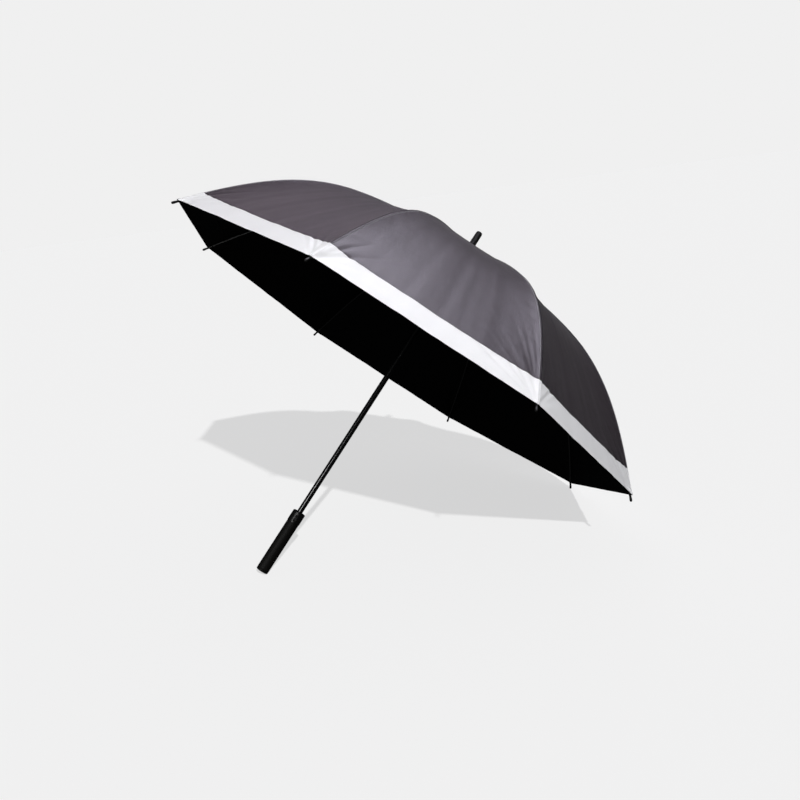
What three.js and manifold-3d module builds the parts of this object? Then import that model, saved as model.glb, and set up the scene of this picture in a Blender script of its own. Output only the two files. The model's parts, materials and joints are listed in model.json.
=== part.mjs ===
// A large straight-handled umbrella that opens at a push button, 1.3 m across and 1.0 m long.
// Millimetres, +Z up the shaft, origin at the centre of the handle's flat bottom end.
// Eight ribs stand 45 degrees apart, the first one along +X. The canopy is modelled open.
import * as THREE from 'three';
import * as BufferGeometryUtils from 'three/addons/utils/BufferGeometryUtils.js';
import Module from 'manifold-3d';

const wasm = await Module();
wasm.setup();

const RIBS = 8;
const RIB_STEP = (2 * Math.PI) / RIBS;
const GAP = 0.3;
const ROUND_SIDES = 20;
const SMALL_SIDES = 6; // of rods, pins and eyes

// the canopy's section over a rib: how steeply it falls along its arc
const APEX_Z = 943;
const ARC_TO_JOINT = 362;
const ARC_TO_HEM = 758;
const SLOPE_AT_APEX = THREE.MathUtils.degToRad(6);
const SLOPE_AT_JOINT = THREE.MathUtils.degToRad(21.5);
const SLOPE_AT_HEM = THREE.MathUtils.degToRad(50.5);
const FABRIC_THICKNESS = 1;
const RIB_DEPTH = 5; // from the fabric's outer face to a rib's centre line

const SHAFT_RADIUS = 7;
const SHAFT_WALL = 0.8;
const SHAFT_BOTTOM_Z = 12;
const SHAFT_TOP_Z = 962;

const PIVOT_ARC = 14; // arc from the apex to a rib's pivot in the crown
const WIRE_RADIUS = 0.8;
const TONGUE_HALF_WIDTH = 0.9;
const TONGUE_RADIUS = 2.2;
const EYE_RADIUS = 1.5;
const CHANNEL_HALF_WIDTH = 2.5;
const CHANNEL_HALF_HEIGHT = 2.2;
const CHANNEL_WALL = 0.8;
const ROD_RADIUS = 2;
const CLOSED_ANGLE = THREE.MathUtils.degToRad(2.5); // of a folded inner rib to the shaft

const HANDLE_RADIUS = 15.5;
const HANDLE_SIDES = 32;
const HANDLE_TOP_Z = 168;
const COLLAR_BOTTOM_Z = 139;
const BUTTON_AZIMUTH = 1.5 * RIB_STEP; // between the second and third ribs

const RUNNER_SLEEVE_RADIUS = 10.5;
const RUNNER_SLEEVE_LENGTH = 76; // below its stretcher pivots
const RUNNER_HOOK_LENGTH = 7.6;
const KEY_DROP = 60; // from the runner's pivots down to its key
const KEY_TRAVEL_SPARE = 4;
const SPRING_SEAT_Z = 45;
const SEAT_HEIGHT = 9;

// the inner rib's bracket, whose cheeks stand outside the outer rib's fork
const BRACKET_INNER = 2.42;
const BRACKET_OUTER = 3.7;
const BRACKET_BACK = 14;
const BRACKET_FRONT = 3;
const BRACKET_HALF_HEIGHT = 2;
const PIN_RADIUS = 1;
const PIN_PROUD = 0.2;
const INNER_EYE_LENGTH = 16;
const FORK_LENGTH = 14;
const FORK_BLOCK = 8;
const FORK_INNER = 1.2;
const FORK_OUTER = 2.1;
const ROD_END_ARC = ARC_TO_HEM - 2;
const STRETCHER_HALF = 2;
const STRETCHER_EYE = 18;
const EYE_LAP = 3; // of a stretcher's channel over its flattened eyes
const TIP_BACK = 14;
const TIP_FRONT = 16;
const TIP_RADIUS = 3.2;
const TIP_WAIST_RADIUS = 2.6;
const TIP_NOSE_RADIUS = 3;

const GORE_FIRST_ARC = 11;
const GORE_INNER_ROWS = 8;
const GORE_OUTER_ROWS = 10;
const SEAM_GAP = 0.3;
const STRAP_LENGTH = 120;
const STRAP_WIDTH = 18;
const STRAP_THICKNESS = 1.2;
const STRAP_DROP = 4; // below the fabric's outer face
const STRAP_TO_HEM = 6;

const CROWN_RADIUS = 19;
const CROWN_FLANGE = 6; // under the pivots
const CROWN_NECK = 17; // from the pivots down to the bottom of the crown's sleeve
const SLOT_HALF_WIDTH = 1.3; // of the slots for the ribs' and stretchers' eyes
const WASHER_RADIUS = 14;
const WASHER_TOP_RADIUS = 10.5;
const WASHER_HEIGHT = 3.2;
const FERRULE_TOP_Z = 999;
const FERRULE_FOOT_RADIUS = 9.6;
const FERRULE_RADIUS = 8.8;
const FERRULE_END_RADIUS = 8.2;

const CATCH_BELOW_RUNNER = 43; // from the open runner's pivots down to the catch's pivot
const CATCH_LENGTH = 28;
const CATCH_TIP_RADIUS = 9.6;
const SLIT_HALF_WIDTH = 1.7; // of the shaft's two slots
const KEY_HALF_WIDTH = 1.3;
const KEY_HALF_HEIGHT = 2;
const PLUG_HALF_HEIGHT = 3;
const SPRING_COIL_RADIUS = 4.4;
const SPRING_TURNS = 20;
const SPRING_STEPS_PER_TURN = 7;
const SPRING_WIRE_RADIUS = 0.6;
const RUNNER_DISC_RADIUS = 18;
const RUNNER_DISC_BELOW = 5;
const RUNNER_DISC_ABOVE = 4;

const CORE_RADIUS = 11;
const END_CAP_TOP_Z = 6;
const COLLAR_RADIUS = 16.2;
const COLLAR_BORE = 13.5;
const PLATE_BOTTOM_Z = HANDLE_TOP_Z - 7.5;
const PLATE_THICKNESS = 1.6;
const BUTTON_BOTTOM_Z = COLLAR_BOTTOM_Z + 3;
const BUTTON_TOP_Z = PLATE_BOTTOM_Z - 2;
const BUTTON_HALF_WIDTH = 3.3;
const BUTTON_PROUD = 1.1;
const BUTTON_BACK_RADIUS = 11.6;
const FLANGE_HALF_WIDTH = 4.4;
const PEG_AT_RADIUS = 11.9;
const PEG_RADIUS = 0.9;
const PLATE_FRONT_RADIUS = 13.1;
const PLATE_BACK_RADIUS = 10.2;
const PLATE_HALF_WIDTH = 9.6;
const KEYHOLE_RADIUS = 8.5;
const KEYHOLE_FRONT = 10.6;
const KEYHOLE_HALF_WIDTH = 7.7;

// ---- materials ----

const finishes = {
  canopy: { color: 0x3b383c, roughness: 0.55, metalness: 0 },
  rib_steel: { color: 0x1b1b1c, roughness: 0.4, metalness: 0.6 },
  rib_rod: { color: 0x151516, roughness: 0.45, metalness: 0 },
  tip: { color: 0x121212, roughness: 0.5, metalness: 0 },
  shaft: { color: 0x141415, roughness: 0.25, metalness: 0.4 },
  moulding: { color: 0x131314, roughness: 0.4, metalness: 0 },
  wire: { color: 0x8d8f92, roughness: 0.35, metalness: 1 },
  grip: { color: 0x1d1d1e, roughness: 0.8, metalness: 0 },
  gloss: { color: 0x0e0e0f, roughness: 0.15, metalness: 0 },
  strap: { color: 0x2f2d30, roughness: 0.7, metalness: 0 },
};

const root = new THREE.Group();

function place(name, geometry, finish, parent = root) {
  const mesh = new THREE.Mesh(geometry, new THREE.MeshStandardMaterial(finishes[finish]));
  mesh.name = name;
  parent.add(mesh);
  return mesh;
}

function turned(azimuth) {
  const group = new THREE.Group();
  group.rotation.z = azimuth;
  root.add(group);
  return group;
}

// ---- solids ----

function solid(geometry) {
  const bare = geometry.index ? geometry.toNonIndexed() : geometry.clone();
  bare.deleteAttribute('normal');
  bare.deleteAttribute('uv');
  const merged = BufferGeometryUtils.mergeVertices(bare, 1e-4);
  return new wasm.Manifold(new wasm.Mesh({
    numProp: 3,
    vertProperties: new Float32Array(merged.attributes.position.array),
    triVerts: new Uint32Array(merged.index.array),
  }));
}

function geometryOf(manifold) {
  const mesh = manifold.getMesh();
  const geometry = new THREE.BufferGeometry();
  geometry.setAttribute('position', new THREE.BufferAttribute(mesh.vertProperties, 3));
  geometry.setIndex(new THREE.BufferAttribute(mesh.triVerts, 1));
  return geometry;
}

// a ring of revolution with a rectangular section, or a disc when inner is 0
function ring(inner, outer, bottom, top, sides = ROUND_SIDES) {
  const section = inner > 0
    ? [[inner, bottom], [outer, bottom], [outer, top], [inner, top], [inner, bottom]]
    : [[0, bottom], [outer, bottom], [outer, top], [0, top]];
  return lathe(section, sides);
}

function lathe(section, sides = ROUND_SIDES) {
  const points = section.map(([r, z]) => new THREE.Vector2(r, z));
  return new THREE.LatheGeometry(points, sides).rotateX(Math.PI / 2);
}

function box(x0, x1, y0, y1, z0, z1) {
  const geometry = new THREE.BoxGeometry(x1 - x0, y1 - y0, z1 - z0);
  return geometry.translate((x0 + x1) / 2, (y0 + y1) / 2, (z0 + z1) / 2);
}

// a flat outline in the XZ plane, made solid from y0 to y1
function plate(shape, y0, y1) {
  const settings = { depth: y1 - y0, bevelEnabled: false, curveSegments: 4 };
  const geometry = new THREE.ExtrudeGeometry(shape, settings);
  return geometry.rotateX(Math.PI / 2).translate(0, y1, 0);
}

// a round pin across the XZ plane
function crossPin(x, z, radius, halfLength) {
  const geometry = new THREE.CylinderGeometry(radius, radius, 2 * halfLength, SMALL_SIDES);
  return geometry.translate(x, 0, z);
}

function polygon(points) {
  return new THREE.Shape(points.map(([x, y]) => new THREE.Vector2(x, y)));
}

function sweep(shape, path, steps) {
  return new THREE.ExtrudeGeometry(shape, { steps, bevelEnabled: false, extrudePath: path });
}

function circleShape(radius, sides) {
  const corners = [];
  for (let i = 0; i < sides; i += 1) {
    const a = (2 * Math.PI * i) / sides;
    corners.push([radius * Math.cos(a), radius * Math.sin(a)]);
  }
  return polygon(corners);
}

// ---- the canopy's section ----

// Bending grows towards the joint from the crown, and dies away towards the free hem.
function slopeAt(arc) {
  if (arc < ARC_TO_JOINT) {
    return SLOPE_AT_APEX + (SLOPE_AT_JOINT - SLOPE_AT_APEX) * (arc / ARC_TO_JOINT) ** 2;
  }
  const left = Math.max(0, (ARC_TO_HEM - arc) / (ARC_TO_HEM - ARC_TO_JOINT));
  return SLOPE_AT_HEM - (SLOPE_AT_HEM - SLOPE_AT_JOINT) * left ** 2;
}

// The point of the section at this arc from the apex, this deep under the fabric's outer face.
function sectionPoint(arc, depth = 0) {
  const strips = 200;
  const strip = arc / strips;
  let x = 0;
  let z = APEX_Z;
  for (let i = 0; i < strips; i += 1) {
    const slope = slopeAt((i + 0.5) * strip);
    x += Math.cos(slope) * strip;
    z -= Math.sin(slope) * strip;
  }
  const slope = slopeAt(arc);
  return new THREE.Vector3(x - depth * Math.sin(slope), 0, z - depth * Math.cos(slope));
}

class RibLine extends THREE.Curve {
  constructor(start, end) {
    super();
    this.start = start;
    this.end = end;
  }

  getPoint(t) {
    return sectionPoint(THREE.MathUtils.lerp(this.start, this.end, t), RIB_DEPTH);
  }
}

const crownPivot = sectionPoint(PIVOT_ARC, RIB_DEPTH);
const ribJoint = sectionPoint(ARC_TO_JOINT, RIB_DEPTH);
const ARM = crownPivot.distanceTo(ribJoint); // the inner rib's and the stretcher's equal lengths
const runnerPivot = new THREE.Vector3(crownPivot.x, 0, 2 * ribJoint.z - crownPivot.z);
const runnerTravel = 2 * ARM * Math.cos(CLOSED_ANGLE) - (crownPivot.z - runnerPivot.z);

// ---- ribs ----

// a flat bar in the XZ plane from a pivot, rounded about it, with half-height h
function tongueOutline(length, h) {
  const shape = new THREE.Shape();
  shape.moveTo(0, -h);
  shape.lineTo(length, -h);
  shape.lineTo(length, h);
  shape.lineTo(0, h);
  shape.absarc(0, 0, h, Math.PI / 2, (3 * Math.PI) / 2, false);
  return shape;
}

// turn a solid made along +X from the origin so that it starts at `from` and points at `to`
function aim(geometry, from, to) {
  const tilt = Math.atan2(to.z - from.z, to.x - from.x);
  return geometry.rotateY(-tilt).translate(from.x, 0, from.z);
}

const channelOutline = polygon([
  [-CHANNEL_HALF_WIDTH, CHANNEL_HALF_HEIGHT],
  [-CHANNEL_HALF_WIDTH, -CHANNEL_HALF_HEIGHT],
  [CHANNEL_HALF_WIDTH, -CHANNEL_HALF_HEIGHT],
  [CHANNEL_HALF_WIDTH, CHANNEL_HALF_HEIGHT],
  [CHANNEL_HALF_WIDTH - CHANNEL_WALL, CHANNEL_HALF_HEIGHT],
  [CHANNEL_HALF_WIDTH - CHANNEL_WALL, -CHANNEL_HALF_HEIGHT + CHANNEL_WALL],
  [-CHANNEL_HALF_WIDTH + CHANNEL_WALL, -CHANNEL_HALF_HEIGHT + CHANNEL_WALL],
  [-CHANNEL_HALF_WIDTH + CHANNEL_WALL, CHANNEL_HALF_HEIGHT],
]);

// The steel inner rib: an open channel with a flattened eye at the crown and a pinned bracket at the joint.
function innerRib() {
  const channel = sweep(channelOutline, new RibLine(PIVOT_ARC + 12, ARC_TO_JOINT - 4), 6);
  const start = sectionPoint(PIVOT_ARC + INNER_EYE_LENGTH, RIB_DEPTH);
  const tongue = plate(tongueOutline(INNER_EYE_LENGTH, TONGUE_RADIUS), -TONGUE_HALF_WIDTH, TONGUE_HALF_WIDTH);
  const eye = aim(tongue, crownPivot, start);
  const back = sectionPoint(ARC_TO_JOINT - BRACKET_BACK, RIB_DEPTH);
  let rib = solid(channel).add(solid(eye));
  for (const side of [-1, 1]) {
    const y0 = side > 0 ? BRACKET_INNER : -BRACKET_OUTER;
    const y1 = side > 0 ? BRACKET_OUTER : -BRACKET_INNER;
    const cheek = plate(polygon([
      [-BRACKET_BACK, -BRACKET_HALF_HEIGHT], [BRACKET_FRONT, -BRACKET_HALF_HEIGHT],
      [BRACKET_FRONT, BRACKET_HALF_HEIGHT], [-BRACKET_BACK, BRACKET_HALF_HEIGHT],
    ]), y0, y1);
    const tilt = Math.atan2(ribJoint.z - back.z, ribJoint.x - back.x);
    cheek.rotateY(-tilt).translate(ribJoint.x, 0, ribJoint.z);
    rib = rib.add(solid(cheek));
  }
  rib = rib.add(solid(crossPin(ribJoint.x, ribJoint.z, PIN_RADIUS, BRACKET_OUTER + PIN_PROUD)));
  const hole = crossPin(crownPivot.x, crownPivot.z, EYE_RADIUS, 2);
  return geometryOf(rib.subtract(solid(hole)));
}

// The glass-fibre outer rib: a round rod in a fork that turns on the bracket's pin.
function outerRib() {
  const rod = sweep(circleShape(ROD_RADIUS, SMALL_SIDES),
    new RibLine(ARC_TO_JOINT + FORK_LENGTH + 2, ROD_END_ARC), 9);
  const ahead = sectionPoint(ARC_TO_JOINT + FORK_LENGTH + FORK_BLOCK, RIB_DEPTH);
  const fork = plate(tongueOutline(FORK_LENGTH + FORK_BLOCK, TONGUE_RADIUS), -FORK_OUTER, FORK_OUTER);
  const mouth = box(-4, FORK_LENGTH, -FORK_INNER, FORK_INNER, -4, 4);
  const hole = crossPin(0, 0, EYE_RADIUS, 4);
  const cut = solid(fork).subtract(solid(mouth)).subtract(solid(hole));
  const placed = aim(geometryOf(cut), ribJoint, ahead);
  return geometryOf(solid(placed).add(solid(rod)));
}

// The stretcher: an open channel pinched flat at both ends, each with an eye.
function stretcher() {
  const near = STRETCHER_EYE - EYE_LAP;
  const far = ARM - near;
  const channel = plate(polygon([
    [near, -STRETCHER_HALF], [far, -STRETCHER_HALF], [far, STRETCHER_HALF], [near, STRETCHER_HALF],
  ]), -STRETCHER_HALF, STRETCHER_HALF);
  const groove = box(0, ARM, -STRETCHER_HALF + CHANNEL_WALL, STRETCHER_HALF - CHANNEL_WALL,
    -3, STRETCHER_HALF - CHANNEL_WALL);
  const eye = plate(tongueOutline(STRETCHER_EYE, STRETCHER_HALF), -TONGUE_HALF_WIDTH, TONGUE_HALF_WIDTH);
  const farEye = eye.clone().rotateY(Math.PI).translate(ARM, 0, 0);
  let bar = solid(channel).subtract(solid(groove)).add(solid(eye)).add(solid(farEye));
  for (const x of [0, ARM]) {
    bar = bar.subtract(solid(crossPin(x, 0, EYE_RADIUS, 4)));
  }
  return aim(geometryOf(bar), runnerPivot, ribJoint);
}

// The rib tip: a moulded cap on the rod's end, with a waist for the sewn corner and a round nose.
function ribTip() {
  const bore = ROD_RADIUS + GAP;
  const cap = lathe([
    [0, 0.6], [bore, 0.6], [bore, -TIP_BACK], [TIP_RADIUS, -TIP_BACK], [TIP_RADIUS, -1],
    [TIP_WAIST_RADIUS, 2], [TIP_NOSE_RADIUS, TIP_FRONT - 2], [0, TIP_FRONT],
  ], 8);
  const slope = slopeAt(ARC_TO_HEM);
  const end = sectionPoint(ROD_END_ARC, RIB_DEPTH);
  return cap.rotateY(Math.PI / 2 + slope).translate(end.x, 0, end.z);
}

// ---- canopy ----

function goreArcs() {
  const arcs = [];
  for (let i = 0; i < GORE_INNER_ROWS; i += 1) {
    arcs.push(THREE.MathUtils.lerp(GORE_FIRST_ARC, ARC_TO_JOINT, i / GORE_INNER_ROWS));
  }
  for (let i = 0; i <= GORE_OUTER_ROWS; i += 1) {
    arcs.push(THREE.MathUtils.lerp(ARC_TO_JOINT, ARC_TO_HEM, i / GORE_OUTER_ROWS));
  }
  return arcs;
}

// One fabric panel between two ribs, straight across from rib to rib, as a thin closed sheet.
function gore() {
  const positions = [];
  const arcs = goreArcs();
  for (const drop of [0, FABRIC_THICKNESS]) {
    for (const arc of arcs) {
      const edge = sectionPoint(arc);
      const inset = SEAM_GAP / 2;
      for (const side of [-1, 1]) {
        const angle = (side * RIB_STEP) / 2;
        const along = new THREE.Vector2(-Math.sin(angle), Math.cos(angle)).multiplyScalar(side * inset);
        const x = edge.x * Math.cos(angle) - along.x;
        const y = edge.x * Math.sin(angle) - along.y;
        positions.push(x, y, edge.z - drop);
      }
    }
  }
  const rows = arcs.length;
  const at = (layer, row, side) => 2 * (layer * rows + row) + side;
  const faces = [];
  const quad = (a, b, c, d) => faces.push(a, b, c, a, c, d);
  for (let row = 0; row < rows - 1; row += 1) {
    quad(at(0, row, 0), at(0, row + 1, 0), at(0, row + 1, 1), at(0, row, 1));
    quad(at(1, row, 0), at(1, row, 1), at(1, row + 1, 1), at(1, row + 1, 0));
    quad(at(0, row, 0), at(1, row, 0), at(1, row + 1, 0), at(0, row + 1, 0));
    quad(at(0, row, 1), at(0, row + 1, 1), at(1, row + 1, 1), at(1, row, 1));
  }
  const last = rows - 1;
  quad(at(0, 0, 0), at(0, 0, 1), at(1, 0, 1), at(1, 0, 0));
  quad(at(0, last, 0), at(1, last, 0), at(1, last, 1), at(0, last, 1));
  const geometry = new THREE.BufferGeometry();
  geometry.setAttribute('position', new THREE.Float32BufferAttribute(positions, 3));
  geometry.setIndex(faces);
  return geometry;
}

// The tie strap lies flat under the fabric, up from the hem halfway between two ribs.
function tieStrap() {
  const middle = Math.cos(RIB_STEP / 2);
  const hem = sectionPoint(ARC_TO_HEM - STRAP_TO_HEM);
  const above = sectionPoint(ARC_TO_HEM - STRAP_TO_HEM - STRAP_LENGTH);
  hem.x *= middle;
  above.x *= middle;
  const strap = box(0, STRAP_LENGTH, -STRAP_WIDTH / 2, STRAP_WIDTH / 2, 0, STRAP_THICKNESS);
  const tilt = Math.atan2(above.z - hem.z, hem.x - above.x);
  return strap.rotateY(Math.PI + tilt).translate(hem.x, 0, hem.z - STRAP_DROP);
}

// ---- crown and ferrule ----

// Eight slots for the eyes, and the round groove that the wire lies in.
function notchSlots(body, pivot, bottom, top) {
  const slack = 0.4;
  const outside = 30;
  let cut = body;
  for (let i = 0; i < RIBS; i += 1) {
    const slot = box(RUNNER_SLEEVE_RADIUS + slack, outside, -SLOT_HALF_WIDTH, SLOT_HALF_WIDTH, bottom, top);
    cut = cut.subtract(solid(slot.rotateZ(i * RIB_STEP)));
  }
  const reach = WIRE_RADIUS + slack;
  const groove = ring(pivot.x - reach, pivot.x + reach, pivot.z - reach, top);
  return cut.subtract(solid(groove));
}

const crownTopZ = APEX_Z - 4;

function crown() {
  const bore = SHAFT_RADIUS + GAP;
  const bottom = crownPivot.z - CROWN_NECK;
  const flange = crownPivot.z - CROWN_FLANGE;
  const body = solid(lathe([
    [bore, bottom], [RUNNER_SLEEVE_RADIUS - 0.9, bottom], [RUNNER_SLEEVE_RADIUS, bottom + 2],
    [RUNNER_SLEEVE_RADIUS, flange], [CROWN_RADIUS - 3, flange], [CROWN_RADIUS, flange + 3],
    [CROWN_RADIUS, crownTopZ - 0.6], [CROWN_RADIUS - 1, crownTopZ], [bore, crownTopZ], [bore, bottom],
  ]));
  return geometryOf(notchSlots(body, crownPivot, crownPivot.z - 8, crownTopZ + 2));
}

function wireRing(pivot) {
  return new THREE.TorusGeometry(pivot.x, WIRE_RADIUS, 4, 24).translate(0, 0, pivot.z);
}

const washerBottomZ = APEX_Z + GAP;
const washerTopZ = washerBottomZ + WASHER_HEIGHT;

function topWasher() {
  const bore = SHAFT_RADIUS + GAP;
  return lathe([
    [bore, washerBottomZ], [WASHER_RADIUS, washerBottomZ], [WASHER_RADIUS, washerBottomZ + 1],
    [WASHER_TOP_RADIUS, washerTopZ], [bore, washerTopZ], [bore, washerBottomZ],
  ]);
}

// The ferrule: a moulded cap over the top of the shaft, with a foot ring and a rounded end.
function ferrule() {
  const bore = SHAFT_RADIUS + GAP;
  const bottom = washerTopZ + GAP;
  return lathe([
    [0, SHAFT_TOP_Z + GAP], [bore, SHAFT_TOP_Z + GAP], [bore, bottom], [FERRULE_FOOT_RADIUS, bottom],
    [FERRULE_FOOT_RADIUS, bottom + 3], [FERRULE_RADIUS, bottom + 4.5],
    [FERRULE_END_RADIUS, FERRULE_TOP_Z - 5], [FERRULE_END_RADIUS - 1.1, FERRULE_TOP_Z - 1.6],
    [FERRULE_END_RADIUS - 3.4, FERRULE_TOP_Z - 0.3], [0, FERRULE_TOP_Z],
  ]);
}

// ---- shaft ----

const catchPivotZ = runnerPivot.z - CATCH_BELOW_RUNNER;
const catchTopZ = catchPivotZ + CATCH_LENGTH;
const keyZ = runnerPivot.z - KEY_DROP;

function shaftTube() {
  const tube = solid(ring(SHAFT_RADIUS - SHAFT_WALL, SHAFT_RADIUS, SHAFT_BOTTOM_Z, SHAFT_TOP_Z));
  const [inside, outside] = [4, 9];
  const spare = KEY_TRAVEL_SPARE + PLUG_HALF_HEIGHT;
  const lowestZ = keyZ - runnerTravel - spare;
  const keySlot = box(inside, outside, -SLIT_HALF_WIDTH, SLIT_HALF_WIDTH, lowestZ, keyZ + spare);
  const catchSlot = box(inside, outside, -SLIT_HALF_WIDTH, SLIT_HALF_WIDTH, catchPivotZ - 3, catchTopZ + 3);
  keySlot.rotateZ(BUTTON_AZIMUTH + Math.PI);
  catchSlot.rotateZ(BUTTON_AZIMUTH);
  return geometryOf(tube.subtract(solid(keySlot)).subtract(solid(catchSlot)));
}

// The sprung catch under the open runner: a thin blade that stands out of the shaft's slot.
function topCatch() {
  return plate(polygon([
    [5.3, catchPivotZ - 1.5], [6.5, catchPivotZ - 1.5], [6.7, catchPivotZ + 2],
    [CATCH_TIP_RADIUS, catchTopZ - 2], [CATCH_TIP_RADIUS, catchTopZ], [5.3, catchTopZ],
  ]), -1.2, 1.2);
}

class Helix extends THREE.Curve {
  constructor(radius, bottom, top, turns) {
    super();
    this.radius = radius;
    this.bottom = bottom;
    this.top = top;
    this.turns = turns;
  }

  getPoint(t) {
    const a = 2 * Math.PI * this.turns * t;
    const z = THREE.MathUtils.lerp(this.bottom, this.top, t);
    return new THREE.Vector3(this.radius * Math.cos(a), this.radius * Math.sin(a), z);
  }
}

// The opening spring pushes the runner's key up inside the tube.
function openingSpring() {
  const path = new Helix(SPRING_COIL_RADIUS, SPRING_SEAT_Z + 1, keyZ - 4, SPRING_TURNS);
  return sweep(circleShape(SPRING_WIRE_RADIUS, 3), path, SPRING_TURNS * SPRING_STEPS_PER_TURN);
}

// ---- runner ----

// The runner: a sleeve with a finger flange at its foot, a hook under that, and a slotted disc on top.
function runner() {
  const bore = SHAFT_RADIUS + 0.4;
  const sleeve = RUNNER_SLEEVE_RADIUS;
  const bottom = runnerPivot.z - RUNNER_SLEEVE_LENGTH;
  const discBottom = runnerPivot.z - RUNNER_DISC_BELOW;
  const discTop = runnerPivot.z + RUNNER_DISC_ABOVE;
  let body = solid(lathe([
    [bore, bottom], [sleeve + 2, bottom], [sleeve + 3.5, bottom + 2], [sleeve + 1, bottom + 6],
    [sleeve, bottom + 12], [sleeve, discBottom - 3], [RUNNER_DISC_RADIUS - 2, discBottom],
    [RUNNER_DISC_RADIUS, discBottom + 2], [RUNNER_DISC_RADIUS, discTop], [bore, discTop], [bore, bottom],
  ]));
  const hookBottom = bottom - RUNNER_HOOK_LENGTH;
  const hookRing = solid(ring(bore, sleeve - 1.5, hookBottom, bottom + 1));
  const hookSpan = solid(box(-20, -3, -5, 5, hookBottom - 1, bottom + 2).rotateZ(BUTTON_AZIMUTH));
  body = body.add(hookRing.intersect(hookSpan));
  const windowHalf = SLIT_HALF_WIDTH + 0.5;
  const window = box(4, 20, -windowHalf, windowHalf, catchPivotZ - 4, catchTopZ + 0.4);
  const holeHalf = KEY_HALF_WIDTH + GAP;
  const holeRise = KEY_HALF_HEIGHT + 0.4;
  const keyHole = box(-20, -4, -holeHalf, holeHalf, keyZ - holeRise, keyZ + holeRise);
  body = body.subtract(solid(window.rotateZ(BUTTON_AZIMUTH)));
  body = body.subtract(solid(keyHole.rotateZ(BUTTON_AZIMUTH)));
  return geometryOf(notchSlots(body, runnerPivot, discBottom + 1, discTop + 2));
}

// The key carries the spring's push through the shaft's slot into the runner.
function runnerKey() {
  const radius = SHAFT_RADIUS - SHAFT_WALL - 2 * GAP;
  const plug = solid(ring(0, radius, keyZ - PLUG_HALF_HEIGHT, keyZ + PLUG_HALF_HEIGHT, 16));
  const [low, high] = [keyZ - KEY_HALF_HEIGHT, keyZ + KEY_HALF_HEIGHT];
  const bar = solid(box(-RUNNER_SLEEVE_RADIUS, 0, -KEY_HALF_WIDTH, KEY_HALF_WIDTH, low, high));
  return geometryOf(plug.add(bar)).rotateZ(BUTTON_AZIMUTH);
}

// ---- handle ----

function springSeat() {
  return ring(0, SHAFT_RADIUS - SHAFT_WALL - GAP, SPRING_SEAT_Z - SEAT_HEIGHT, SPRING_SEAT_Z, 16);
}

// The stiff tube under the grip, closed below the shaft's end.
function handleCore() {
  const bore = SHAFT_RADIUS + GAP;
  const floor = SHAFT_BOTTOM_Z - GAP;
  return lathe([
    [0, END_CAP_TOP_Z + GAP], [CORE_RADIUS, END_CAP_TOP_Z + GAP], [CORE_RADIUS, COLLAR_BOTTOM_Z - GAP],
    [bore, COLLAR_BOTTOM_Z - GAP], [bore, floor], [0, floor],
  ]);
}

function handleGrip() {
  const inner = CORE_RADIUS + GAP;
  const bottom = END_CAP_TOP_Z + GAP;
  const top = COLLAR_BOTTOM_Z - GAP;
  return lathe([
    [inner, bottom], [HANDLE_RADIUS - 0.8, bottom], [HANDLE_RADIUS, bottom + 1], [HANDLE_RADIUS, top - 1],
    [HANDLE_RADIUS - 0.8, top], [inner, top], [inner, bottom],
  ], HANDLE_SIDES);
}

function handleEndCap() {
  return lathe([
    [0, 0], [HANDLE_RADIUS - 1.6, 0], [HANDLE_RADIUS - 0.2, 1.4], [HANDLE_RADIUS - 0.2, END_CAP_TOP_Z],
    [0, END_CAP_TOP_Z],
  ], HANDLE_SIDES);
}

// The glossy collar: a shell round the button's works, with a lip at its mouth.
function handleCollar() {
  const lip = RUNNER_SLEEVE_RADIUS + GAP;
  const shell = solid(lathe([
    [COLLAR_BORE, COLLAR_BOTTOM_Z], [COLLAR_RADIUS, COLLAR_BOTTOM_Z], [COLLAR_RADIUS, HANDLE_TOP_Z - 1.6],
    [COLLAR_RADIUS - 1.6, HANDLE_TOP_Z], [lip, HANDLE_TOP_Z], [lip, HANDLE_TOP_Z - 2.5],
    [COLLAR_BORE, HANDLE_TOP_Z - 2.5], [COLLAR_BORE, COLLAR_BOTTOM_Z],
  ], HANDLE_SIDES));
  const opening = box(10, 20, -BUTTON_HALF_WIDTH - GAP, BUTTON_HALF_WIDTH + GAP,
    BUTTON_BOTTOM_Z - GAP, BUTTON_TOP_Z + GAP);
  return geometryOf(shell.subtract(solid(opening.rotateZ(BUTTON_AZIMUTH))));
}

// The button: a rounded pad in the collar's opening, kept in by a wider flange behind it.
function pushButton() {
  const back = BUTTON_BACK_RADIUS;
  const front = COLLAR_RADIUS + BUTTON_PROUD;
  const pad = plate(polygon([
    [back, BUTTON_BOTTOM_Z], [front - 1, BUTTON_BOTTOM_Z], [front, BUTTON_BOTTOM_Z + 3],
    [front, BUTTON_TOP_Z - 3], [front - 1, BUTTON_TOP_Z], [back, BUTTON_TOP_Z],
  ]), -BUTTON_HALF_WIDTH, BUTTON_HALF_WIDTH);
  const flange = box(back - 0.4, back + 0.6, -FLANGE_HALF_WIDTH, FLANGE_HALF_WIDTH,
    BUTTON_BOTTOM_Z - 1.5, BUTTON_TOP_Z + 1);
  const peg = new THREE.CylinderGeometry(PEG_RADIUS, PEG_RADIUS, 3.4, 8).rotateX(Math.PI / 2);
  peg.translate(PEG_AT_RADIUS, 0, BUTTON_TOP_Z + 1.5);
  return geometryOf(solid(pad).add(solid(flange)).add(solid(peg)));
}

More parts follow.
